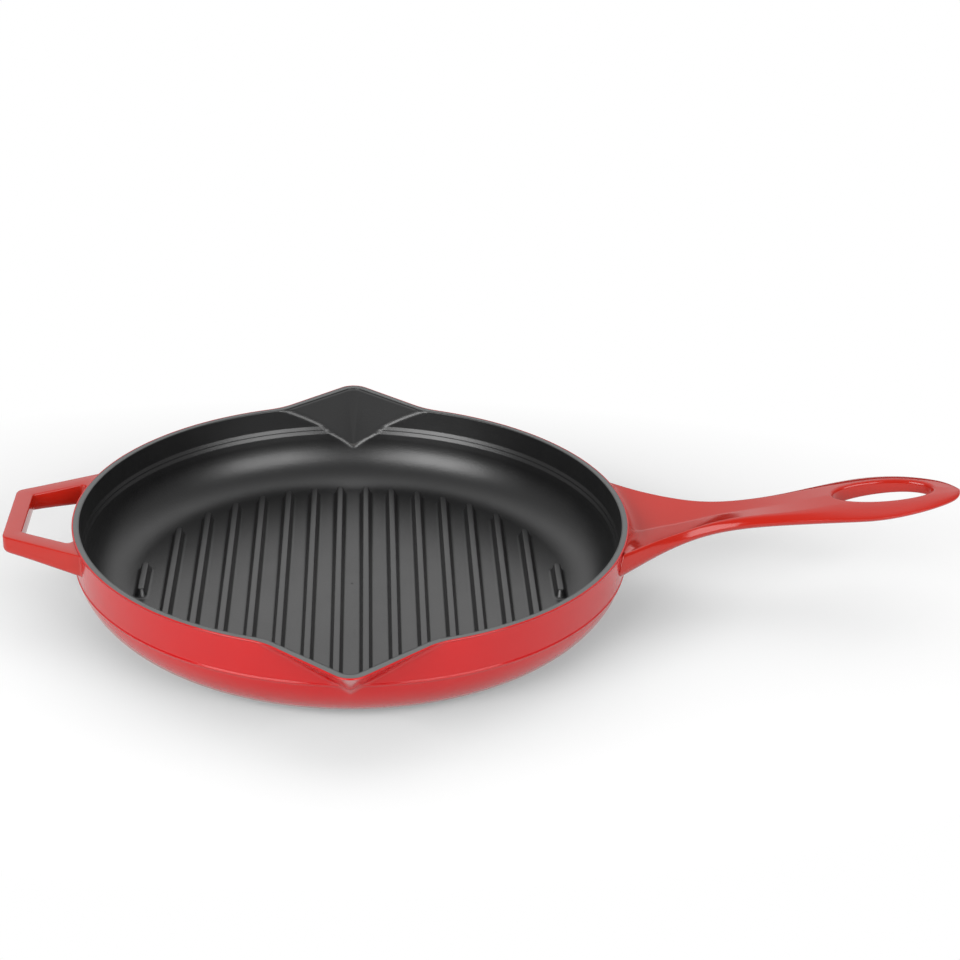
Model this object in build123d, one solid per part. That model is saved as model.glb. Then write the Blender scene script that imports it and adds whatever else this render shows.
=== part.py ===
from build123d import *
import math
import os

# Round ribbed grill pan of enamelled cast iron, with a pouring spout on either side,
# a long handle that ends in a pierced paddle, and a looped helper handle opposite.
# The origin is on the bowl's axis in the plane that the foot stands on. The long
# handle runs along +X, the helper handle along -X, and the spouts along +Y and -Y.
# All lengths are in millimetres.

# Bowl, outside
pan_height = 47.0
rim_radius = 140.0
outer_wall_taper = 1.0
lower_curve_width = 33.0
foot_height = 0.6
parting_depth = 19.7
bead_proud = 0.35
bead_height = 1.1

# Bowl, inside
lip_width = 3.8
floor_height = 6.5
inner_wall_taper = 2.6
cove_width = 22.0
cove_top_depth = 18.5
ledge_depth = 11.4
ledge_bevel_height = 1.8
ledge_bevel_width = 0.85
ledge_gap = 0.45
wall_draft = 0.25

# Coats of enamel, and the straight bands that stand for a curve where a coat hides it
coat = 0.5
hidden_bands = 6
lip_coat = 0.6
lip_edge_bevel = 0.3

# Pouring spouts, given at the rim and at the low point where their nose meets the wall
spout_half_width = 40.5
spout_projection = 31.0
spout_tip_round = 10.0
spout_depth = 24.7
spout_sink = 2.5
channel_depth = 23.0

# Grill ribs
rib_pitch = 14.2
shortest_rib = 25.0
rib_crest_width = 3.2
rib_foot_width = 6.0
rib_height = 4.5
rib_end_gap = 4.1
rib_end_draft = 2.4

# Long handle
handle_root_sink = 10.0
handle_projection = 169.8
handle_root_half_width = 48.0
handle_waist_half_width = 12.7
paddle_half_width = 23.6
handle_root_drop = 1.7
handle_rise = 17.0
handle_valley_depth = 10.8
handle_crown = 0.9
handle_root_depth = 19.6
handle_thickness = 8.4
hole_centre_from_tip = 39.8
hole_length = 52.0
hole_width = 25.0
hole_edge_bevel = 1.4

# Helper handle
helper_root_sink = 6.6
helper_projection = 31.9
helper_root_half_width = 46.8
helper_far_half_width = 26.6
helper_bar_width = 9.0
helper_drop = 0.9
helper_root_depth = 11.7
helper_far_depth = 9.0
helper_far_corner_round = 5.0
helper_hole_corner_round = 2.0
helper_root_round = 3.0
helper_top_edge_round = 0.8
helper_under_edge_round = 2.6

# How far a cutting tool runs past what it cuts
overrun = 6.0

# Stations along the long handle. Each row gives, as shares: the way out from root to
# tip; the root's flare; the paddle's swelling; what the tip leaves of the width; the
# shoulder's place across the half width; the rise; the valley; the crown; the root's
# extra depth; what the tip leaves of the thickness.
handle_station_shares = (
    (0.000, 1.000, 0.000, 1.000, 0.950, 0.000, 1.000, 0.000, 1.000, 1.000),
    (0.061, 0.745, 0.000, 1.000, 0.945, 0.006, 0.907, 0.000, 0.720, 1.000),
    (0.122, 0.504, 0.000, 1.000, 0.938, 0.031, 0.685, 0.000, 0.470, 1.000),
    (0.195, 0.275, 0.000, 1.000, 0.915, 0.074, 0.490, 0.000, 0.190, 1.000),
    (0.278, 0.085, 0.000, 1.000, 0.850, 0.158, 0.270, 0.000, 0.045, 1.000),
    (0.389, 0.000, 0.000, 1.000, 0.800, 0.302, 0.110, 0.000, 0.000, 1.000),
    (0.512, 0.000, 0.230, 1.000, 0.770, 0.482, 0.030, 0.200, 0.000, 1.000),
    (0.640, 0.000, 0.725, 1.000, 0.660, 0.725, 0.000, 0.800, 0.000, 1.080),
    (0.751, 0.000, 1.000, 1.000, 0.640, 0.872, 0.000, 1.000, 0.000, 1.040),
    (0.851, 0.000, 1.000, 0.885, 0.650, 0.970, 0.000, 0.700, 0.000, 0.900),
    (0.923, 0.000, 1.000, 0.655, 0.670, 1.000, 0.000, 0.500, 0.000, 0.740),
    (0.968, 0.000, 1.000, 0.430, 0.680, 0.988, 0.000, 0.350, 0.000, 0.570),
    (0.992, 0.000, 1.000, 0.215, 0.680, 0.955, 0.000, 0.200, 0.000, 0.370),
    (1.000, 0.000, 1.000, 0.040, 0.680, 0.940, 0.000, 0.200, 0.000, 0.200),
)
# A cross-section's widest place, the point between it and the shoulder, and the points
# below it, as shares of the half width and of the height up from the underside
side_height_share = 0.42
upper_side_share = 0.66
under_side_shares = ((0.93, 0.50), (0.66, 0.10), (0.36, 0.00))

# Worked out from the sizes above
parting_height = pan_height - parting_depth
parting_radius = rim_radius - outer_wall_taper
foot_radius = parting_radius - lower_curve_width
cove_top_radius = rim_radius - lip_width - inner_wall_taper
floor_radius = cove_top_radius - cove_width
rib_circle_radius = floor_radius - rib_end_gap
rib_field_half = math.sqrt(rib_circle_radius**2 - (shortest_rib / 2) ** 2)
rib_count = 2 * int(rib_field_half / rib_pitch + 1 / 2)
lip_plane = pan_height - lip_coat
spout_reach = rim_radius + spout_projection
spout_root_y = math.sqrt(rim_radius**2 - spout_half_width**2)
spout_length = spout_reach - spout_root_y
spout_side = math.hypot(spout_half_width, spout_length)
handle_root_x = rim_radius - handle_root_sink
handle_reach = rim_radius + handle_projection
hole_centre_x = handle_reach - hole_centre_from_tip
helper_root_x = rim_radius - helper_root_sink
helper_reach = rim_radius + helper_projection


def half_profile(points, bands):
    """Face between the axis and an outline whose second stretch is an arc that leaves
    level, or that arc in straight bands, and whose other stretches are straight."""
    edges = [Line(points[0], points[1])]
    arc = TangentArc(points[1], points[2], tangent=(1, 0, 0))
    steps = [arc @ (band / bands) for band in range(bands + 1)]
    edges += [Line(start, end) for start, end in zip(steps, steps[1:])] if bands > 1 else [arc]
    edges += [Line(start, end) for start, end in zip(points[2:], points[3:] + points[:1])]
    return Plane.XZ * make_face(edges)


def spout_cones(inset, apex_radius, apex_height, top):
    """Both spouts' full forms. Each narrows from a pointed outline with a rounded tip to a
    single low point on the bowl's wall, and is cut off level at top. The outline lies in
    the rim's plane and is drawn in by inset."""
    across, along = spout_half_width / spout_side, spout_length / spout_side
    back_x = spout_half_width - inset * along + lip_width * across
    back_y = spout_root_y - inset * across - lip_width * along
    tip_y = spout_reach - inset / across
    grow = (top - apex_height) / (pan_height - apex_height)
    corners = [(-back_x, back_y), (0, tip_y), (back_x, back_y)]
    placed = [(x * grow, apex_radius + (y - apex_radius) * grow) for x, y in corners]
    outline = make_face(Polyline(*placed, close=True))
    outline = fillet(outline.vertices().sort_by(Axis.Y)[-1], (spout_tip_round - inset) * grow)
    cone = loft([Pos(0, 0, top) * outline, Vertex(0, apex_radius, apex_height)], ruled=True)
    return [cone, mirror(cone, about=Plane.XZ)]


def outer_form(inset, bead, bands):
    """Bowl and spouts as one full block, drawn in by inset from the finished outside."""
    side = parting_radius - inset
    low, high = parting_height - bead_height / 2, parting_height + bead_height / 2
    points = [(0, foot_height + inset), (foot_radius, foot_height + inset), (side, low)]
    points += [(side + bead, parting_height), (side, high)]
    points += [(rim_radius - inset, pan_height), (0, pan_height)]
    block = revolve(half_profile(points, bands), Axis.Z)
    apex_height = pan_height - spout_depth
    return block + spout_cones(inset, side - spout_sink, apex_height, pan_height)


def cavity(grow, bands):
    """The hollow of bowl and spouts, grown by grow past the finished inside. Halfway up,
    the wall steps out in two small bevels."""
    top = pan_height + overrun
    radius = cove_top_radius + grow
    points = [(0, floor_height - grow), (floor_radius, floor_height - grow)]
    points += [(radius, pan_height - cove_top_depth)]
    radius += wall_draft
    depth = ledge_depth + 2 * ledge_bevel_height + ledge_gap
    for bevel in range(2):
        points += [(radius, pan_height - depth)]
        radius += ledge_bevel_width
        depth -= ledge_bevel_height
        points += [(radius, pan_height - depth)]
        depth -= ledge_gap
    rim = rim_radius - lip_width + grow
    points += [(rim, pan_height), (rim, top), (0, top)]
    hollow = revolve(half_profile(points, bands), Axis.Z)
    apex_height = pan_height - channel_depth - grow
    return hollow + spout_cones(lip_width - grow, cove_top_radius + grow, apex_height, top)


def below(height):
    """A slab that holds everything of the bowl below the given height."""
    size, under = 2 * spout_reach, (Align.CENTER, Align.CENTER, Align.MAX)
    return Pos(0, 0, height) * Box(size, size, 2 * pan_height, align=under)


def bevelled_lip(band):
    """The lip's band with both of its upper edges broken."""
    return chamfer(band.faces().sort_by(Axis.Z)[-1].edges(), lip_edge_bevel)


def grill_rib(x):
    """One drafted rib with round ends, which stops just short of the cove."""
    crest_length = 2 * math.sqrt(rib_circle_radius**2 - x**2)
    foot_length = crest_length + 2 * rib_end_draft
    foot = SlotOverall(foot_length, rib_foot_width, rotation=90)
    crest = SlotOverall(crest_length, rib_crest_width, rotation=90)
    low, high = floor_height - coat, floor_height + rib_height
    return loft([Pos(x, 0, low) * foot, Pos(x, 0, high) * crest], ruled=True)


def handle_section(row):
    """One cross-section of the long handle, square to X. Its top is a shallow valley near
    the root and a low crown on the paddle, and narrow flats turn its side and underside."""
    along, flare, swell, taper, shoulder, rise, valley, crown, depth, thin = row
    x = handle_root_x + along * (handle_reach - handle_root_x)
    half = handle_waist_half_width + flare * (handle_root_half_width - handle_waist_half_width)
    half = taper * (half + swell * (paddle_half_width - handle_waist_half_width))
    thick = thin * (handle_thickness + depth * (handle_root_depth - handle_thickness))
    edge = pan_height - handle_root_drop + rise * handle_rise
    middle = edge - valley * handle_valley_depth + crown * handle_crown
    under = edge - thick
    side = edge - side_height_share * thick
    upper = (half * (1 + shoulder) / 2, side + (edge - side) * upper_side_share)
    right = [(half * shoulder, edge), upper, (half, side)]
    right += [(half * out, under + (side - under) * up) for out, up in under_side_shares]
    left = [(-y, z) for y, z in reversed(right)]
    outline = [(0, middle)] + right + left
    return make_face(Polyline(*[Vector(x, y, z) for y, z in outline], close=True))


def long_handle_form():
    """Handle from inside the bowl's wall to the tip, with its bevelled hanging hole. One
    half is finished and mirrored, so that the bevel meets itself at the crease."""
    form = loft([handle_section(row) for row in handle_station_shares])
    hole = Pos(hole_centre_x, 0, 0) * Ellipse(hole_length / 2, hole_width / 2)
    form -= extrude(hole, 2 * pan_height)
    half = split(form, bisect_by=Plane.XZ)
    wall = half.faces().filter_by(GeomType.EXTRUSION)
    rims = [edge for edge in wall.edges() if edge.length > hole_length]
    half = chamfer(ShapeList(rims), hole_edge_bevel)
    return half + mirror(half, about=Plane.XZ)


def helper_outline(inset):
    """The helper handle's outline in plan, drawn in by inset, running on into the bowl."""
    spread = (helper_root_half_width - helper_far_half_width) / (helper_reach - helper_root_x)
    far_x = helper_reach - inset
    far_half = helper_far_half_width + inset * spread - inset * math.hypot(1, spread)
    near_x = foot_radius
    near_half = far_half + (far_x - near_x) * spread
    corners = [(-near_x, near_half), (-far_x, far_half), (-far_x, -far_half), (-near_x, -near_half)]
    return make_face(Polyline(*corners, close=True))


def helper_underside():
    """What is cut from below the helper handle, so that it thins towards its far bar."""
    thinning = (helper_root_depth - helper_far_depth) / (helper_reach - helper_root_x)
    near_x, far_x = foot_radius, helper_reach + overrun
    near, far = [x * thinning - helper_root_x * thinning - helper_root_depth for x in (near_x, far_x)]
    low = near - overrun
    corners = [(-near_x, near), (-far_x, far), (-far_x, low), (-near_x, low)]
    face = Plane.XZ * make_face(Polyline(*corners, close=True))
    return Pos(0, 0, pan_height - helper_drop) * extrude(face, rim_radius, both=True)


def helper_handle_form():
    """Flat-topped loop with flared roots and rounded edges, on a disc inside the wall."""
    disc = parting_radius - coat
    outer = helper_outline(0)
    outer = fillet(outer.vertices().sort_by(Axis.X)[:2], helper_far_corner_round)
    opening = helper_outline(helper_bar_width)
    opening = fillet(opening.vertices().sort_by(Axis.X)[:2], helper_hole_corner_round)
    plan = outer - opening + Circle(disc)
    roots = [v for v in plan.vertices() if v.X < -foot_radius and abs(math.hypot(v.X, v.Y) - disc) < coat]
    plan = fillet(roots, helper_root_round)
    form = Pos(0, 0, pan_height - helper_drop) * extrude(plan, -helper_root_depth - overrun)
    form -= helper_underside()
    form = fillet(form.faces().sort_by(Axis.Z)[-1].edges(), helper_top_edge_round)
    slope = form.faces().filter_by(lambda f: f.center().X < -foot_radius and f.normal_at().Z < -0.9)
    under = [e for e in slope.edges() if (e @ 0.5).X < -rim_radius]
    return fillet(ShapeList(under), helper_under_edge_round)


outside = outer_form(0, bead_proud, 1)
iron_outside = outer_form(coat, 0, hidden_bands)
inside = cavity(0, 1)
iron_inside = cavity(coat, hidden_bands)
under_lip = below(lip_plane)
foot = Cylinder(foot_radius, foot_height + coat, align=(Align.CENTER, Align.CENTER, Align.MIN))
ribs = [grill_rib((i - (rib_count - 1) / 2) * rib_pitch) for i in range(rib_count)]
long_handle = long_handle_form() - iron_outside
helper_handle = helper_handle_form() - iron_outside

nodes = {
    "bowl_casting": ((iron_outside + foot) & under_lip) - iron_inside,
    "grill_ribs": Compound(children=ribs),
    "long_handle": long_handle,
    "helper_handle": helper_handle,
    "inner_enamel": ((iron_inside - inside) & under_lip) - ribs,
    "outer_enamel": ((outside - iron_outside) & under_lip) - foot - helper_handle - long_handle,
    "lip_enamel": bevelled_lip((outside - under_lip) - inside),
}

os.makedirs("parts", exist_ok=True)
for name, shape in nodes.items():
    solids = shape.solids()
    print(name, len(solids), "solids", round(sum(s.volume for s in solids)), "mm3")
    export_step(solids[0] if len(solids) == 1 else Compound(children=solids), f"parts/{name}.step")
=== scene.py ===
import math

import bmesh
import bpy
import numpy as np
from mathutils import Euler, Matrix, Vector


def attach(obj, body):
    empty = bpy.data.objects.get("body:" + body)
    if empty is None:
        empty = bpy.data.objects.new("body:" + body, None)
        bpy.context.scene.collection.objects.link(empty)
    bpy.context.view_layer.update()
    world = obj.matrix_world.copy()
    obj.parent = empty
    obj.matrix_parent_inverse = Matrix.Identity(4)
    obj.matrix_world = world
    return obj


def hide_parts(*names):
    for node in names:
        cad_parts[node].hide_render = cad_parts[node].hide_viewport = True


# Round ribbed grill pan of enamelled cast iron on a white studio floor. The bowl's axis is
# the Z axis and the foot stands on z = 0. The long handle runs along +X, the helper handle
# along -X and the spouts along +Y and -Y. Lengths are in millimetres until a mesh is made.
MM = 0.001

# Bowl
pan_height = 47.0
rim_radius = 140.0
parting_radius = 139.0
parting_depth = 19.7
bead_proud = 0.35
bead_half_height = 0.55
wall_pitch = 0.6
foot_radius = 106.0
foot_height = 0.6
lip_width = 3.8
lip_coat = 0.6
lip_outer_round = 0.6
lip_inner_round = 0.5
lip_red_width = 0.75
lip_black_width = 0.65
lip_groove = 0.12
lip_groove_width = 0.12
floor_height = 6.5
floor_radius = 111.6
cove_top_radius = 133.6
cove_top_depth = 18.5
ledge_depth = 11.4
ledge_bevel_height = 1.8
ledge_bevel_width = 0.85
ledge_gap = 0.45
wall_draft = 0.25
ledge_edge_round = 0.3
easing_limit = 0.45

# Spouts
spout_half_width = 40.5
spout_reach = 171.0
spout_tip_round = 10.0
spout_low_height = 22.3
spout_low_radius = 136.5
spout_root_blend = 3.6
channel_tip_setback = 0.8
channel_low_height = 24.0
channel_root_blend = 1.8
# To either side of a spout's middle: as far as it can reach, and as its fine points go
spout_field = math.radians(30)
fine_bearings = 21

# Grill ribs
rib_count = 16
rib_pitch = 14.2
rib_circle_radius = 107.5
rib_crest_half = 1.6
rib_foot_half = 3.0
rib_end_draft = 2.4
rib_crest_height = 11.0
rib_edge_round = 0.7
rib_root_flare = 1.3
rib_root_rise = 1.1

# Long handle
handle_root_x = 130.0
handle_reach = 309.8
handle_root_half_width = 48.0
handle_waist_half_width = 12.7
paddle_half_width = 23.6
handle_root_drop = 1.7
handle_rise = 17.0
handle_valley_depth = 10.8
handle_crown = 0.9
handle_root_depth = 19.6
handle_thickness = 8.4
handle_crease_round = 0.6
handle_shoulder_round = 1.1
handle_valley_fillet = 9.0
handle_valley_fillet_fade = 0.12
handle_valley_top_drop = 0.75
handle_side_fillet = 1.0
handle_edge_share = 0.42
handle_edge_power = 1.11
handle_edge_root = 1.3
handle_buried = 0.4
neck_search = (118.0, 150.0)
neck_rows = 90
neck_crowding = 1.7
hole_centre_x = 270.0
hole_half_length = 25.3
hole_half_width = 11.3
hole_edge_round = 1.9
paddle_start_x = 232.0
paddle_side_points = 90
paddle_rings = 26
paddle_crowding = 1.8

# Helper handle
helper_root_x = 133.4
helper_reach = 171.9
helper_root_half_width = 46.8
helper_far_half_width = 26.6
helper_bar_width = 9.0
helper_drop = 0.9
helper_root_depth = 11.7
helper_far_depth = 9.0
helper_far_corner_round = 5.0
helper_hole_corner_round = 2.0
helper_root_round = 3.0
helper_buried = 2.0
helper_top_edge_round = 0.9
helper_under_edge_round = 2.6

# Stations along the long handle, as shares: the way out from root to tip; the root's
# flare; the paddle's swelling; what the tip leaves of the width; the shoulder's place
# across the half width; the rise; the valley; the crown; the root's extra depth; what
# is left of the thickness. The two that tell what is left are squared before use.
handle_station_shares = (
    (0.000, 1.000, 0.000, 1.000, 0.950, 0.000, 1.000, 0.000, 1.000, 1.000),
    (0.061, 0.745, 0.000, 1.000, 0.945, 0.006, 0.907, 0.000, 0.720, 1.000),
    (0.122, 0.504, 0.000, 1.000, 0.938, 0.031, 0.685, 0.000, 0.470, 1.000),
    (0.195, 0.275, 0.000, 1.000, 0.915, 0.074, 0.490, 0.000, 0.190, 1.000),
    (0.278, 0.085, 0.000, 1.000, 0.850, 0.158, 0.270, 0.000, 0.045, 1.000),
    (0.389, 0.000, 0.000, 1.000, 0.800, 0.302, 0.110, 0.000, 0.000, 1.000),
    (0.512, 0.000, 0.230, 1.000, 0.770, 0.482, 0.030, 0.200, 0.000, 1.000),
    (0.640, 0.000, 0.725, 1.000, 0.660, 0.725, 0.000, 0.800, 0.000, 1.080),
    (0.751, 0.000, 1.000, 1.000, 0.640, 0.872, 0.000, 1.000, 0.000, 1.040),
    (0.851, 0.000, 1.000, 0.885, 0.650, 0.970, 0.000, 0.700, 0.000, 0.900),
    (0.923, 0.000, 1.000, 0.655, 0.670, 1.000, 0.000, 0.500, 0.000, 0.740),
    (0.968, 0.000, 1.000, 0.430, 0.680, 0.988, 0.000, 0.350, 0.000, 0.570),
    (0.992, 0.000, 1.000, 0.215, 0.680, 0.955, 0.000, 0.200, 0.000, 0.370),
    (1.000, 0.000, 1.000, 0.000, 0.680, 0.940, 0.000, 0.150, 0.000, 0.230),
)

# Camera, found from the rim's ellipses: its place, its turns in radians and its lens
camera_place = (4.3, -1014.9, 539.1)
camera_yaw = 0.059
camera_pitch = 0.436
camera_roll = 0.0296
camera_lens = 83.44
sensor_width = 36.0

# Enamels, and how strongly the glass of each mirrors
red_ior = 1.50
black_ior = 1.72
# Each red and grey from deep to bright, and how dark each black is
bowl_reds = ((0.50, 0.003, 0.004, 1), (0.56, 0.004, 0.005, 1))
# The handles' red is a darker, more orange copy of the bowl's enamel: painted shade for the dimmer
# light on the handles, and a painted warm tint for the reflections on their facets
handle_shaded_reds = ((0.45, 0.013, 0.005, 1), (0.51, 0.017, 0.008, 1))
cooking_black = 0.006
rib_black = 0.008
lip_greys = ((0.085, 0.09, 0.09, 1), (0.13, 0.135, 0.135, 1))
iron_greys = ((0.075, 0.073, 0.071, 1), (0.13, 0.128, 0.125, 1))
# Grey that stands for red in the light thrown on the floor
bounce_grey = (0.16, 0.16, 0.16, 1)

# White floor, and the duller paint that light thrown back by the pan sees
floor_size = 16.0
floor_white = (0.95, 0.95, 0.95, 1)
floor_bounce = (0.60, 0.60, 0.60, 1)
pure_white = (1, 1, 1, 1)
# Metres from the axis, counted shorter along the handles, where it fades to pure white
fade_start = 0.16
fade_end = 0.26
fade_stretch = (0.6, 1.0, 1.0)
# Share of pure white right under the pan
near_glow = 0.12

# Brightness of the surroundings by how far a direction tilts up and back, from 0 to 1
surroundings = [
    (0.0, 0.14),
    (0.575, 0.16),
    (0.63, 0.32),
    (0.73, 0.34),
    (0.80, 0.48),
    (0.87, 0.72),
    (0.94, 1.15),
]

# Soft boxes: degrees from straight behind the pan, degrees up, and brightness
soft_boxes = {"left_box": (-141.0, 24.0, 5.6), "right_box": (141.0, 24.0, 4.0)}
# How far the boxes are from the pan and how large, in metres
box_distance = 1.8
box_width = 1.25
box_height = 1.15

# Black card behind the long handle, in metres, which only reflections see
card_place = (0.5, 0.9, 0.13)
card_width = 1.7
card_height = 0.22
card_black = (0.03, 0.03, 0.03, 1)

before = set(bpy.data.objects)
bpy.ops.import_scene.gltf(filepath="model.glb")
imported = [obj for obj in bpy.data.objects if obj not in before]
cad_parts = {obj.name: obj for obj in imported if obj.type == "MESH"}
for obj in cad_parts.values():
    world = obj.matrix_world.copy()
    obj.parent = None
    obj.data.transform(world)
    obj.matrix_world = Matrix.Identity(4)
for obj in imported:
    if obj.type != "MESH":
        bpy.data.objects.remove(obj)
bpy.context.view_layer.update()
scene = bpy.context.scene


class Value:
    """A number or a colour on its way through a material, open to Python's arithmetic."""

    def __init__(self, finish, socket):
        self.finish, self.socket = finish, socket

    def combine(self, operation, *terms):
        inputs = dict(enumerate(terms))
        return self.finish.add("ShaderNodeMath", {"operation": operation}, inputs)

    def __add__(self, other):
        return self.combine("ADD", self, other)

    def __sub__(self, other):
        return self.combine("SUBTRACT", self, other)

    def __mul__(self, other):
        return self.combine("MULTIPLY", self, other)

    def __radd__(self, other):
        return self.combine("ADD", other, self)

    def __rsub__(self, other):
        return self.combine("SUBTRACT", other, self)

    def __rmul__(self, other):
        return self.combine("MULTIPLY", other, self)


class Finish:
    """The nodes of one material, or of the studio's surroundings."""

    def __init__(self, owner):
        owner.use_nodes = True
        self.tree = owner.node_tree
        self.tree.nodes.clear()

    def add(self, kind, settings, inputs, output=0):
        node = self.tree.nodes.new(kind)
        for name, setting in settings.items():
            if name == "stops":
                self.set_stops(node.color_ramp, setting)
            else:
                setattr(node, name, setting)
        for key, value in inputs.items():
            if isinstance(value, Value):
                self.tree.links.new(value.socket, node.inputs[key])
            else:
                node.inputs[key].default_value = value
        return Value(self, node.outputs[output]) if node.outputs else None

    def set_stops(self, ramp, stops):
        while len(ramp.elements) < len(stops):
            ramp.elements.new(1.0)
        for element, (place, level) in zip(ramp.elements, stops):
            element.position = place
            element.color = (level, level, level, 1.0)

    def place(self):
        return self.add("ShaderNodeTexCoord", {}, {}, "Object")

    def noise(self, vector, scale, detail=3.0):
        inputs = {"Vector": vector, "Scale": scale, "Detail": detail, "Roughness": 0.5}
        return self.add("ShaderNodeTexNoise", {}, inputs)

    def ramp(self, value, stops):
        return self.add("ShaderNodeValToRGB", {"stops": stops}, {0: value})

    def shade(self, mask, first, second):
        inputs = {0: mask, 6: first, 7: second}
        return self.add("ShaderNodeMix", {"data_type": "RGBA"}, inputs, 2)

    def ray(self, kind):
        return self.add("ShaderNodeLightPath", {}, {}, kind)

    def bump(self, height, distance):
        inputs = {"Height": height, "Distance": distance * MM, "Strength": 1.0}
        return self.add("ShaderNodeBump", {}, inputs)

    def surface(self, shader, kind="ShaderNodeOutputMaterial"):
        self.add(kind, {}, {"Surface": shader})

    def principled(self, inputs):
        self.surface(self.add("ShaderNodeBsdfPrincipled", {}, inputs))


def new_finish(name):
    material = bpy.data.materials.new(name)
    return material, Finish(material)


def red_enamel(name, deep, bright):
    """Glossy red enamel with a faint waviness. In the light that it throws on the floor
    it counts as grey, so that the floor stays white."""
    material, finish = new_finish(name)
    place = finish.place()
    cloud = finish.noise(place, scale=28.0)
    colour = finish.shade(cloud, deep, bright)
    broad = finish.noise(place, scale=130.0, detail=1.0)
    narrow = finish.noise(place, scale=600.0, detail=1.0)
    haze = finish.noise(place, scale=90.0)
    inputs = {
        "Base Color": finish.shade(finish.ray("Is Diffuse Ray"), colour, bounce_grey),
        "Roughness": 0.10 + 0.05 * haze,
        "IOR": red_ior,
        "Normal": finish.bump(broad + 0.25 * narrow, 0.05),
    }
    finish.principled(inputs)
    return material


def black_enamel(name, tone):
    """Satin black enamel with a fine grain."""
    material, finish = new_finish(name)
    place = finish.place()
    grain = finish.noise(place, scale=1000.0, detail=2.0)
    cloud = finish.noise(place, scale=60.0)
    deep, bright = (tone * 0.85, tone * 0.85, tone * 0.9, 1), (tone, tone, tone * 1.05, 1)
    inputs = {
        "Base Color": finish.shade(cloud, deep, bright),
        "Roughness": 0.32 + 0.08 * cloud,
        "IOR": black_ior,
        "Normal": finish.bump(grain, 0.05),
    }
    finish.principled(inputs)
    return material


def grey_lip():
    """Semi-matte grey edge enamel."""
    material, finish = new_finish("grey_lip")
    place = finish.place()
    grain = finish.noise(place, scale=1100.0, detail=2.0)
    cloud = finish.noise(place, scale=75.0)
    inputs = {
        "Base Color": finish.shade(cloud, *lip_greys),
        "Roughness": 0.40 + 0.1 * cloud,
        "Normal": finish.bump(grain, 0.03),
    }
    finish.principled(inputs)
    return material


def ground_iron():
    """Bare ground casting of the foot."""
    material, finish = new_finish("ground_iron")
    place = finish.place()
    pits = finish.noise(place, scale=900.0, detail=4.0)
    cloud = finish.noise(place, scale=45.0)
    inputs = {
        "Base Color": finish.shade(cloud, *iron_greys),
        "Metallic": 0.6,
        "Roughness": 0.45 + 0.2 * pits,
        "Normal": finish.bump(pits, 0.08),
    }
    finish.principled(inputs)
    return material


class Shape:
    """Points and faces of one piece, gathered from sheets of points."""

    def __init__(self):
        self.points, self.faces, self.count = [], [], 0

    def sheet(self, points):
        """Add rows of points, each of which closes on itself."""
        rows, columns, _ = points.shape
        ids = self.count + np.arange(rows * columns).reshape(rows, columns)
        ids = np.concatenate([ids, ids[:, :1]], axis=1)
        corners = [ids[:-1, :-1], ids[:-1, 1:], ids[1:, 1:], ids[1:, :-1]]
        self.faces += np.stack(corners, axis=-1).reshape(-1, 4).tolist()
        self.points += [points.reshape(-1, 3)]
        self.count += rows * columns

    def piece(self, name, node, material, outward=None):
        """Make the mesh, weld its sheets and let it stand for its solid. Its faces look
        out by themselves where it is closed; outward tells whether those of an open
        sheet already do."""
        mesh = bpy.data.meshes.new(name)
        mesh.from_pydata(np.concatenate(self.points) * MM, [], self.faces)
        work = bmesh.new()
        work.from_mesh(mesh)
        bmesh.ops.remove_doubles(work, verts=work.verts, dist=0.01 * MM)
        bmesh.ops.dissolve_degenerate(work, edges=work.edges, dist=0.001 * MM)
        if outward is None:
            bmesh.ops.recalc_face_normals(work, faces=work.faces)
        elif not outward:
            bmesh.ops.reverse_faces(work, faces=work.faces)
        for face in work.faces:
            face.smooth = True
        work.to_mesh(mesh)
        work.free()
        mesh.materials.append(material)
        result = bpy.data.objects.new(name, mesh)
        scene.collection.objects.link(result)
        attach(result, "root")
        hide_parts(node)
        return result


def rounded(points, reach, steps=4):
    """A line of points with each inner corner eased over the given reach."""
    points = [np.array(point, float) for point in points]
    result = [points[0]]
    for before, corner, after in zip(points, points[1:], points[2:]):
        back, on = before - corner, after - corner
        back *= min(easing_limit, reach / np.linalg.norm(back))
        on *= min(easing_limit, reach / np.linalg.norm(on))
        for share in np.linspace(0, 1, steps + 1):
            result += [corner + back * (1 - share) ** 2 + on * share**2]
    return np.array(result + [points[-1]])


def level_arc(start, end, steps):
    """Arc that leaves its start level and rises to its end."""
    (x, z), (far, high) = start, end
    radius = ((far - x) ** 2 + (high - z) ** 2) / (2 * (high - z))
    sweep = math.atan2(far - x, radius - (high - z))
    turn = np.linspace(0, sweep, steps + 1)
    return np.stack([x + radius * np.sin(turn), z + radius * (1 - np.cos(turn))], axis=1)


def upright(start, end):
    """Points up a straight stretch of the wall, about one pitch apart."""
    steps = max(1, round((end[1] - start[1]) / wall_pitch))
    return np.linspace(start, end, steps + 1)


def smooth_larger(first, second, blend):
    """The larger of two, with the change from one to the other eased."""
    near = np.maximum(blend - np.abs(first - second), 0)
    return np.maximum(first, second) + near**2 / (4 * blend)


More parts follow.
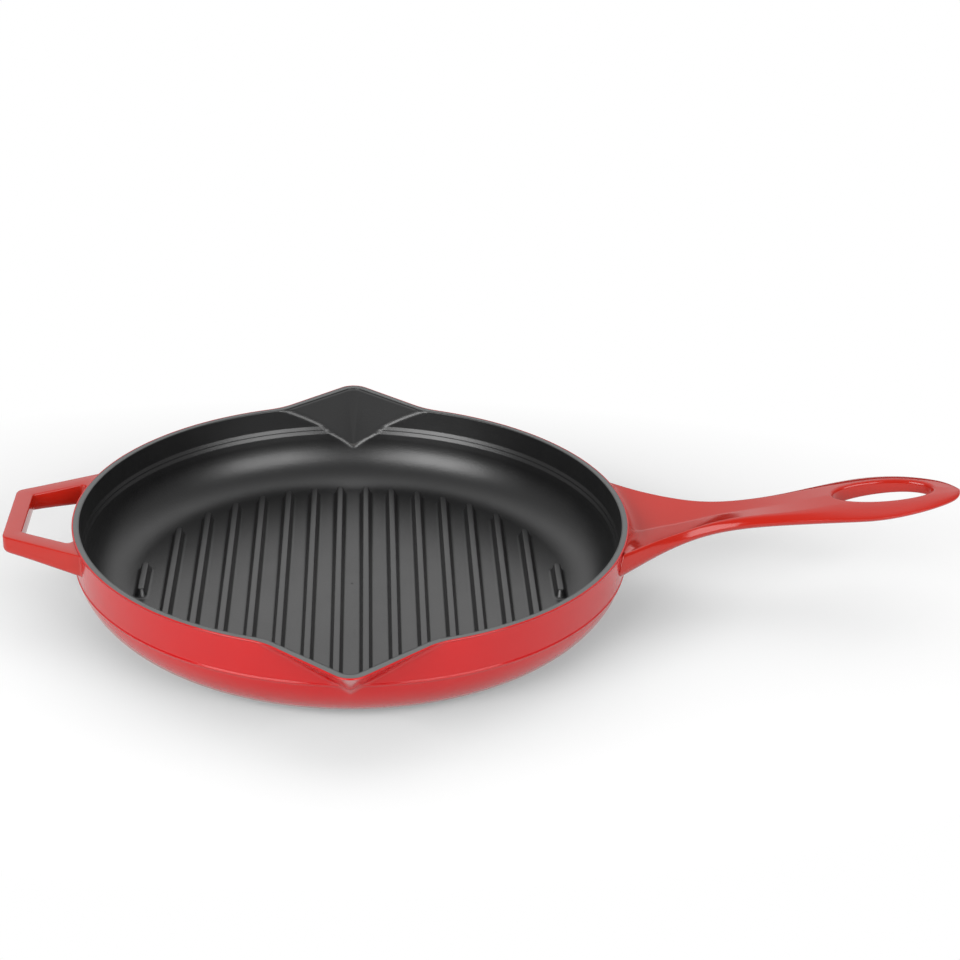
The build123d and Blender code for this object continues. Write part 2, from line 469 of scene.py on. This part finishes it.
def spout_radius(bearing, height, inset, setback, low_height, low_radius):
    """How far a spout's cone reaches from the axis, along each bearing."""
    across, along = np.abs(np.cos(bearing)), np.abs(np.sin(bearing))
    reach = spout_reach - setback
    length = reach - math.sqrt(rim_radius**2 - spout_half_width**2)
    side = math.hypot(spout_half_width, length)
    sine, cosine = spout_half_width / side, length / side
    grown = (height - low_height) / (pan_height - low_height)
    if grown <= 0:
        return np.zeros_like(bearing)
    tip = low_radius + grown * (reach - inset / sine - low_radius)
    flank = spout_half_width * tip / (length * across + spout_half_width * along)
    round_radius = (spout_tip_round - inset) * grown
    centre = tip - round_radius / sine
    nose = along * centre + np.sqrt(np.maximum(round_radius**2 - (across * centre) ** 2, 0))
    turn = math.atan2(round_radius * cosine, centre + round_radius * sine)
    aside = np.arctan2(across, along)
    return np.where(aside < turn, nose, np.where(aside < spout_field, flank, 0))


def bowl_bearings():
    """Bearings round the bowl, close together at the spouts."""
    fine = np.linspace(0, fine_bearings, 85)
    coarse = np.linspace(fine_bearings, 90, 56)[1:]
    quarter = np.concatenate([fine, coarse])
    half = np.concatenate([-quarter[:0:-1], quarter[:-1]])
    return np.radians(np.concatenate([90 + half, 270 + half]))


bearings = bowl_bearings()

# The spouts' two cones, outside and inside: inset, setback, low height and low radius
spout = (0, 0, spout_low_height, spout_low_radius)
channel = (lip_width, channel_tip_setback, channel_low_height, cove_top_radius)


def bowl_sheet(profile, cone, blend):
    """A sheet round the bowl from a profile of radius and height, with both spouts."""
    rows = []
    for radius, height in profile:
        reach = spout_radius(bearings, height, *cone)
        reach = smooth_larger(np.full_like(bearings, radius), reach, blend)
        x, y = reach * np.cos(bearings), reach * np.sin(bearings)
        rows += [np.stack([x, y, np.full_like(reach, height)], 1)]
    return np.array(rows)


def outer_profile(bead=bead_proud):
    """Radius and height up the outside, from the foot to the lip."""
    low = pan_height - parting_depth - bead_half_height
    high = pan_height - parting_depth + bead_half_height
    curve = level_arc((foot_radius, foot_height), (parting_radius, low), steps=44)
    turn = np.linspace(0, math.pi, 7)[1:-1]
    climb = low + (high - low) * (1 - np.cos(turn)) / 2
    swell = np.stack([parting_radius + bead * np.sin(turn), climb], 1)
    lip_low = pan_height - lip_coat
    lean = (rim_radius - parting_radius) * (lip_low - high) / (pan_height - high)
    wall = upright((parting_radius, high), (parting_radius + lean, lip_low))
    return np.concatenate([curve, swell, wall])


def inner_profile():
    """Radius and height up the inside, from the middle of the floor to the lip."""
    flat = [(radius, floor_height) for radius in np.linspace(0, floor_radius, 8)[:-1]]
    cove_top = (cove_top_radius, pan_height - cove_top_depth)
    cove = level_arc((floor_radius, floor_height), cove_top, steps=40)
    radius = cove_top_radius + wall_draft
    depth = ledge_depth + 2 * ledge_bevel_height + ledge_gap
    steps = [cove_top]
    for _ in range(2):
        steps += [(radius, pan_height - depth)]
        radius += ledge_bevel_width
        depth -= ledge_bevel_height
        steps += [(radius, pan_height - depth)]
        depth -= ledge_gap
    lip_low = pan_height - lip_coat
    steps += [(rim_radius - lip_width, lip_low)]
    eased = rounded(steps, ledge_edge_round)
    wall = [upright(start, end)[1:] for start, end in zip(eased, eased[1:])]
    return np.concatenate([flat, cove] + wall)


def lip_edges():
    """The lip's outer and inner edges at its top, and the way out from one to the other."""
    outer = bowl_sheet([(rim_radius, pan_height)], spout, spout_root_blend)[0]
    inner = bowl_sheet([(rim_radius - lip_width, pan_height)], channel, channel_root_blend)[0]
    outward = outer - inner
    return outer, inner, outward / np.linalg.norm(outward, axis=1)[:, None]


def along_lip(edge, outward, steps):
    """Rows beside an edge of the lip, each given by how far out and how far down it lies."""
    return np.array([edge + out * outward - (0, 0, down) for out, down in steps])


def edge_round(radius):
    """Steps in from an upright side and up over a round edge."""
    turn = np.linspace(0, math.pi / 2, 7)
    return list(zip(radius * (1 - np.cos(turn)), radius * (1 - np.sin(turn))))


def outer_coat():
    """Red enamel up the outside and over the lip's outer edge."""
    outer, _, outward = lip_edges()
    wall = bowl_sheet(outer_profile(), spout, spout_root_blend)
    over = [(-step, drop) for step, drop in edge_round(lip_outer_round)]
    over += [(-lip_red_width, 0), (-lip_red_width - lip_groove_width / 2, lip_groove)]
    shape = Shape()
    shape.sheet(np.concatenate([wall, along_lip(outer, outward, over)]))
    return shape.piece("red_coat", "outer_enamel", bowl_red, True)


def inner_coat():
    """Black enamel of the cooking side and over the lip's inner edge."""
    _, inner, outward = lip_edges()
    wall = bowl_sheet(inner_profile(), channel, channel_root_blend)
    over = edge_round(lip_inner_round)
    over += [(lip_black_width, 0), (lip_black_width + lip_groove_width / 2, lip_groove / 2)]
    shape = Shape()
    shape.sheet(np.concatenate([wall, along_lip(inner, outward, over)]))
    return shape.piece("cooking_surface", "inner_enamel", cooking_enamel, False)


def lip_band():
    """Grey edge between red and black, low beside both and flat along its middle."""
    outer, inner, outward = lip_edges()
    half = lip_groove_width / 2
    near_red = [
        (-lip_red_width - half, lip_groove),
        (-lip_red_width - 2 * half, lip_groove / 2),
        (-lip_red_width - 4 * half, 0),
    ]
    near_black = [(lip_black_width + 4 * half, 0), (lip_black_width + half, lip_groove / 2)]
    rows = [along_lip(outer, outward, near_red), along_lip(inner, outward, near_black)]
    shape = Shape()
    shape.sheet(np.concatenate(rows))
    return shape.piece("lip_band", "lip_enamel", lip_enamel, True)


def slot_ring(x, half_width, half_length, height):
    """Outline of one level of a rib: two straight sides and two round ends."""
    turn = np.linspace(0, math.pi, 13)
    far = half_length - half_width
    ring_x = np.concatenate([half_width * np.cos(turn), -half_width * np.cos(turn)])
    ring_y = np.concatenate([far + half_width * np.sin(turn), -far - half_width * np.sin(turn)])
    return np.stack([x + ring_x, ring_y, np.full_like(ring_x, height)], 1)


def grill_rib(x):
    """One drafted rib with an eased crest and a small flare at its root."""
    half_length = math.sqrt(rib_circle_radius**2 - x**2)
    rise = rib_crest_height - floor_height
    draft = (rib_foot_half - rib_crest_half) / rise
    crest = (0.0, rib_crest_height)
    corner = (rib_crest_half, rib_crest_height)
    side_low = np.array([rib_foot_half - draft * rib_root_rise, floor_height + rib_root_rise])
    bend = np.array([rib_foot_half, floor_height])
    root = np.array([rib_foot_half + rib_root_flare, floor_height])
    eased = rounded([crest, corner, side_low], rib_edge_round, steps=5)
    share = np.linspace(0, 1, 6)[1:, None]
    flare = (1 - share) ** 2 * side_low + 2 * share * (1 - share) * bend + share**2 * root
    end_lean = rib_end_draft + rib_crest_half - rib_foot_half
    rings = []
    for width, height in np.concatenate([eased, flare]):
        drop = (rib_crest_height - height) / rise
        length = half_length + width - rib_crest_half + drop * end_lean
        rings += [slot_ring(x, width, length, height)]
    return np.array(rings)


def ribs():
    shape = Shape()
    for number in range(rib_count):
        shape.sheet(grill_rib((number - (rib_count - 1) / 2) * rib_pitch))
    return shape.piece("grill_ribs_glazed", "grill_ribs", rib_enamel)


def smooth_curve(places, values):
    """Cubic through the given values, as a function of place."""
    count = len(places)
    gaps = np.diff(places)
    system, right = np.eye(count), np.zeros(count)
    for i in range(1, count - 1):
        system[i, i - 1 : i + 2] = gaps[i - 1], 2 * (gaps[i - 1] + gaps[i]), gaps[i]
        rise = (values[i + 1] - values[i]) / gaps[i] - (values[i] - values[i - 1]) / gaps[i - 1]
        right[i] = 6 * rise
    bends = np.linalg.solve(system, right)

    def curve(spots):
        index = np.clip(np.searchsorted(places, spots) - 1, 0, count - 2)
        gap = gaps[index]
        ahead, behind = (places[index + 1] - spots) / gap, (spots - places[index]) / gap
        line = ahead * values[index] + behind * values[index + 1]
        bend = (ahead**3 - ahead) * bends[index] + (behind**3 - behind) * bends[index + 1]
        return line + bend * gap**2 / 6

    return curve


stations = np.array(handle_station_shares)
stations[:, [3, 9]] **= 2
handle_curves = [smooth_curve(stations[:, 0], stations[:, column]) for column in range(1, 10)]


def handle_half_width(x):
    along = (x - handle_root_x) / (handle_reach - handle_root_x)
    flare, swell, taper = [handle_curves[i](along) for i in range(3)]
    half = handle_waist_half_width + flare * (handle_root_half_width - handle_waist_half_width)
    half = half + swell * (paddle_half_width - handle_waist_half_width)
    return np.sqrt(np.maximum(taper, 0)) * half


def handle_height(x, across, upper):
    """Height of the handle's top or underside at a share of the way across its half width."""
    along = (x - handle_root_x) / (handle_reach - handle_root_x)
    shoulder, rise, valley, crown, depth, thin = [handle_curves[i](along) for i in range(3, 9)]
    half = handle_half_width(x)
    thick = handle_thickness + depth * (handle_root_depth - handle_thickness)
    thick = np.sqrt(np.maximum(thin, 0)) * thick
    edge = pan_height - handle_root_drop + rise * handle_rise
    middle = edge - valley * handle_valley_depth + crown * handle_crown
    side = edge - handle_edge_share * thick
    across = np.clip(across, 0, 1)
    ease = handle_crease_round / np.maximum(half, 1)
    from_crease = np.sqrt(across**2 + ease**2) - ease
    facet = middle + (edge - middle) * from_crease / shoulder
    past = (across - shoulder) / (1 - shoulder)
    fall = np.maximum(1 - np.sign(past) * np.abs(past) ** handle_edge_power, 0)
    flank = side + (edge - side) * fall ** (1 / handle_edge_root)
    top = -smooth_larger(-facet, -flank, handle_shoulder_round)
    under = side - (1 - handle_edge_share) * thick * np.sqrt(1 - across**3)
    return np.where(upper, top, under)


def outer_wall_radius(height):
    profile = outer_profile(0)
    return np.interp(height, profile[:, 1], profile[:, 0])


across_steps = np.concatenate([[0, 0.01, 0.025, 0.05], np.sin(np.linspace(0.09, math.pi / 2, 40))])


def handle_neck():
    """The long handle from the bowl's wall to the start of the paddle. Each line runs out
    along X from where it leaves the wall, where it curves up into a fillet."""
    # Round the section: how far over it lies, whether on top, and to which side
    over = np.concatenate([across_steps, across_steps[-2::-1]])
    upper = np.arange(len(over)) < len(across_steps)
    over = np.concatenate([over, over[-2:0:-1]])
    sign = np.where(np.arange(len(over)) < len(upper), 1, -1)
    upper = np.concatenate([upper, upper[-2:0:-1]])
    # Where each line leaves the wall
    near, far = [np.full(len(over), x) for x in neck_search]
    for _ in range(40):
        middle = (near + far) / 2
        from_axis = np.hypot(middle, over * handle_half_width(middle))
        outside = from_axis > outer_wall_radius(handle_height(middle, over, upper))
        near, far = np.where(outside, near, middle), np.where(outside, middle, far)
    start = near - handle_buried
    rows = []
    for share in np.linspace(0, 1, neck_rows) ** neck_crowding:
        x = start + (paddle_start_x - start) * share
        y = sign * over * handle_half_width(x)
        z = handle_height(x, over, upper)
        rows += [np.stack([x, y, z], 1)]
    points = np.array(rows)
    # Small fillet all round, square to the section
    tangent = np.roll(points, -1, 1) - np.roll(points, 1, 1)
    outward = np.stack([np.zeros_like(tangent[..., 0]), tangent[..., 2], -tangent[..., 1]], -1)
    outward /= np.maximum(np.linalg.norm(outward, axis=-1, keepdims=True), 1e-9)
    side_clear = np.hypot(points[..., 0], points[..., 1]) - outer_wall_radius(points[..., 2])
    side_clear = np.clip(side_clear, 0, handle_side_fillet)
    lift = handle_side_fillet - np.sqrt(side_clear * (2 * handle_side_fillet - side_clear))
    points += outward * lift[..., None]
    # Tall fillet in the valley, up to just under the lip
    shoulder = handle_station_shares[0][4]
    valley = np.where(upper, np.clip((shoulder - over) / handle_valley_fillet_fade, 0, 1), 0)
    clear = (np.hypot(points[..., 0], points[..., 1]) - rim_radius) / handle_valley_fillet
    clear = np.clip(clear, 0, 1)
    depth = pan_height - handle_valley_top_drop - points[..., 2]
    points[..., 2] += np.maximum(depth, 0) * valley * (1 - np.sqrt(clear * (2 - clear)))
    return points


def paddle_outline():
    """Plan points round the paddle, from the middle of its start line round the tip."""
    start_half = handle_half_width(np.array([paddle_start_x]))[0]
    line = [(paddle_start_x, share * start_half) for share in across_steps]
    spots = np.linspace(1, 0, paddle_side_points)[1:] ** 2
    spots = handle_reach - (handle_reach - paddle_start_x) * spots
    side = list(zip(spots, handle_half_width(spots)))
    right = np.array(line + side)
    left = right[-2:0:-1] * (1, -1)
    return np.concatenate([right, left])


def paddle_sheets():
    """Top, underside and the round-edged hanging hole, ring by ring out from the hole."""
    outline = paddle_outline()
    sizes = np.array([hole_half_length, hole_half_width])
    along, aside = (outline - (hole_centre_x, 0)).T
    turn = np.arctan2(aside * hole_half_length, along * hole_half_width)
    unit = np.stack([np.cos(turn), np.sin(turn)], 1)
    edge = unit * sizes + (hole_centre_x, 0)
    normal = unit / sizes
    normal /= np.linalg.norm(normal, axis=1)[:, None]

    def level(plan, upper, drop):
        half = np.maximum(handle_half_width(plan[:, 0]), 1e-6)
        height = handle_height(plan[:, 0], np.abs(plan[:, 1]) / half, upper)
        return np.column_stack([plan, height + (-drop if upper else drop)])

    rings = []
    for upper in (True, False):
        ring = []
        for share in 1 - np.linspace(1, 0, paddle_rings) ** paddle_crowding:
            plan = edge + normal * hole_edge_round * (1 - share) + (outline - edge) * share
            ring += [level(plan, upper, 0)]
        bevel = []
        for angle in np.linspace(math.pi / 2, 0, 8)[1:]:
            plan = edge + normal * hole_edge_round * (1 - math.cos(angle))
            bevel += [level(plan, upper, hole_edge_round * (1 - math.sin(angle)))]
        rings += [bevel[::-1] + ring]
    return np.array(rings[0][::-1] + rings[1])


def long_handle():
    shape = Shape()
    shape.sheet(handle_neck())
    shape.sheet(paddle_sheets())
    return shape.piece("long_handle_glazed", "long_handle", handle_shaded_red)


def helper_plan(inset, corner_round, side):
    """Plan points along one edge of the helper handle's loop, from wall to wall. The side
    is 1 for the outer edge, which flares away from the loop, and -1 for the inner."""
    spread = (helper_root_half_width - helper_far_half_width) / (helper_reach - helper_root_x)
    lean = math.hypot(1, spread)
    far_half = helper_far_half_width + inset * spread - inset * lean
    direction = np.array([-1.0, -spread]) / lean
    normal = np.array([-spread, 1.0]) / lean * side
    corner = np.array([inset - helper_reach, far_half])

    # Flare: an arc that leaves the wall and runs into the straight bar
    wall = outer_wall_radius(pan_height - helper_drop - helper_root_depth / 2)
    base = corner + normal * helper_root_round
    ahead = base @ direction
    reach = wall + helper_root_round
    centre = base + direction * (math.sqrt(ahead**2 - base @ base + reach**2) - ahead)
    on_line = centre - normal * helper_root_round
    on_wall = centre * wall / np.linalg.norm(centre)
    first, last = [math.atan2(*(spot - centre)[::-1]) for spot in (on_wall, on_line)]
    turn = (last - first + math.pi) % (2 * math.pi) - math.pi
    angles = first + turn * np.linspace(0, 1, 9)
    flare = centre + helper_root_round * np.stack([np.cos(angles), np.sin(angles)], 1)
    inside = on_wall * (wall - helper_buried) / wall

    # Far corner, and the bar to its middle
    begin = math.pi / 2 + math.atan(spread)
    arc_centre = corner + (corner_round, -corner_round / math.tan(begin / 2))
    angles = np.linspace(begin, math.pi, 11)
    arc = arc_centre + corner_round * np.stack([np.cos(angles), np.sin(angles)], 1)
    straight = np.linspace(flare[-1], arc[0], 9)[1:-1]
    bar = np.linspace(arc[-1], arc[-1] * (1, 0), 8)[1:]
    half = np.concatenate([[inside], flare, straight, arc, bar])
    return np.concatenate([half, half[-2::-1] * (1, -1)])


def helper_handle():
    """Loop with a flat top, a crisp upper edge and a rounder lower edge."""
    outer = helper_plan(0, helper_far_corner_round, 1)
    inner = helper_plan(helper_bar_width, helper_hole_corner_round, -1)
    inward = inner - outer
    inward /= np.linalg.norm(inward, axis=1)[:, None]
    top = pan_height - helper_drop
    thinning = (helper_root_depth - helper_far_depth) / (helper_reach - helper_root_x)
    turn = np.linspace(0, math.pi / 2, 7)
    columns = []

    def corner(at_outer, at_top, radius, angles):
        for angle in angles:
            step = radius * (1 - math.cos(angle))
            drop = radius * (1 - math.sin(angle))
            plan = outer + inward * step if at_outer else inner - inward * step
            depth = helper_root_depth - thinning * (-plan[:, 0] - helper_root_x)
            height = top - drop if at_top else top - depth + drop
            columns.append(np.column_stack([plan, np.broadcast_to(height, len(plan))]))

    corner(True, True, helper_top_edge_round, turn)
    corner(False, True, helper_top_edge_round, turn[::-1])
    corner(False, False, helper_under_edge_round, turn)
    corner(True, False, helper_under_edge_round, turn[::-1])
    shape = Shape()
    shape.sheet(np.array(columns).transpose(1, 0, 2))
    return shape.piece("helper_handle_glazed", "helper_handle", handle_shaded_red)


def flat_stage(name, width, depth, material):
    """A flat stage piece, level and centred until it is placed."""
    x, y = width / 2, depth / 2
    mesh = bpy.data.meshes.new(name)
    mesh.from_pydata([(-x, -y, 0), (x, -y, 0), (x, y, 0), (-x, y, 0)], [], [(0, 1, 2, 3)])
    mesh.materials.append(material)
    sheet = bpy.data.objects.new(name, mesh)
    scene.collection.objects.link(sheet)
    return sheet


def studio_floor():
    """White floor that keeps the pan's soft shadow and fades into pure white further off."""
    material, finish = new_finish("white_floor")
    squeezed = {0: finish.place(), 1: fade_stretch}
    squeezed = finish.add("ShaderNodeVectorMath", {"operation": "MULTIPLY"}, squeezed)
    away = finish.add("ShaderNodeVectorMath", {"operation": "LENGTH"}, {0: squeezed}, "Value")
    faded = (away - fade_start) * (1 / (fade_end - fade_start))
    fade = finish.ramp(faded, [(0.0, near_glow), (1.0, 1.0)])
    camera, glossy, through = [
        finish.ray(kind) for kind in ("Is Camera Ray", "Is Glossy Ray", "Is Transmission Ray")
    ]
    paint = finish.shade(finish.ray("Is Diffuse Ray"), floor_white, floor_bounce)
    matte = finish.add("ShaderNodeBsdfDiffuse", {}, {"Color": paint})
    glow = finish.add("ShaderNodeEmission", {}, {"Color": pure_white})
    inputs = {0: (camera + glossy + through) * fade, 1: matte, 2: glow}
    finish.surface(finish.add("ShaderNodeMixShader", {}, inputs))
    flat_stage("floor", floor_size, floor_size, material)


def black_card():
    """Card that darkens what the handle's gloss mirrors, out of the camera's sight."""
    material, finish = new_finish("black_card")
    finish.surface(finish.add("ShaderNodeBsdfDiffuse", {}, {"Color": card_black}))
    card = flat_stage("black_card", card_width, card_height, material)
    card.location = card_place
    card.rotation_euler = (math.pi / 2, 0, 0)
    card.visible_camera = card.visible_diffuse = card.visible_shadow = False


def studio_light():
    """White above and behind, dim low at the sides and high in front, and two soft boxes
    in front, one to either side of the camera."""
    world = bpy.data.worlds.new("studio")
    scene.world = world
    finish = Finish(world)
    direction = finish.add("ShaderNodeTexCoord", {}, {}, "Generated")
    back = finish.add("ShaderNodeSeparateXYZ", {}, {"Vector": direction}, "Y")
    up = finish.add("ShaderNodeSeparateXYZ", {}, {"Vector": direction}, "Z")
    tilt = 0.5 + (back + up) * math.sqrt(1 / 8)
    inputs = {"Color": pure_white, "Strength": finish.ramp(tilt, surroundings)}
    shader = finish.add("ShaderNodeBackground", {}, inputs)
    finish.surface(shader, "ShaderNodeOutputWorld")
    for name, (bearing, rise, brightness) in soft_boxes.items():
        soft_box(name, math.radians(bearing), math.radians(rise), brightness)


def soft_box(name, bearing, rise, brightness):
    """A rectangular lamp that faces the pan."""
    lamp = bpy.data.lights.new(name, "AREA")
    lamp.shape = "RECTANGLE"
    lamp.size, lamp.size_y = box_width, box_height
    lamp.energy = brightness * math.pi * box_width * box_height
    flat = math.cos(rise)
    toward = Vector((flat * math.sin(bearing), flat * math.cos(bearing), math.sin(rise)))
    box = bpy.data.objects.new(name, lamp)
    box.location = box_distance * toward
    box.rotation_euler = box.location.to_track_quat("Z", "Y").to_euler()
    box.visible_camera = False
    scene.collection.objects.link(box)


def studio_camera():
    lens = bpy.data.cameras.new("camera")
    lens.lens, lens.sensor_width = camera_lens, sensor_width
    camera = bpy.data.objects.new("camera", lens)
    aim = Euler((math.pi / 2 - camera_pitch, 0, -camera_yaw)).to_matrix()
    camera.rotation_euler = (aim @ Matrix.Rotation(camera_roll, 3, "Z")).to_euler()
    camera.location = Vector(camera_place) * MM
    scene.collection.objects.link(camera)
    scene.camera = camera


bowl_red = red_enamel("bowl_red_enamel", *bowl_reds)
# Darker, more orange copy of the bowl's red: painted shade and painted warm reflection on both
# handles
handle_shaded_red = red_enamel("handle_red_enamel", *handle_shaded_reds)
cooking_enamel = black_enamel("black_enamel", cooking_black)
rib_enamel = black_enamel("rib_black_enamel", rib_black)
lip_enamel = grey_lip()
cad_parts["bowl_casting"].material_slots[0].material = ground_iron()

outer_coat()
inner_coat()
lip_band()
ribs()
long_handle()
helper_handle()
studio_floor()
black_card()
studio_light()
studio_camera()
scene.view_settings.view_transform = "Standard"
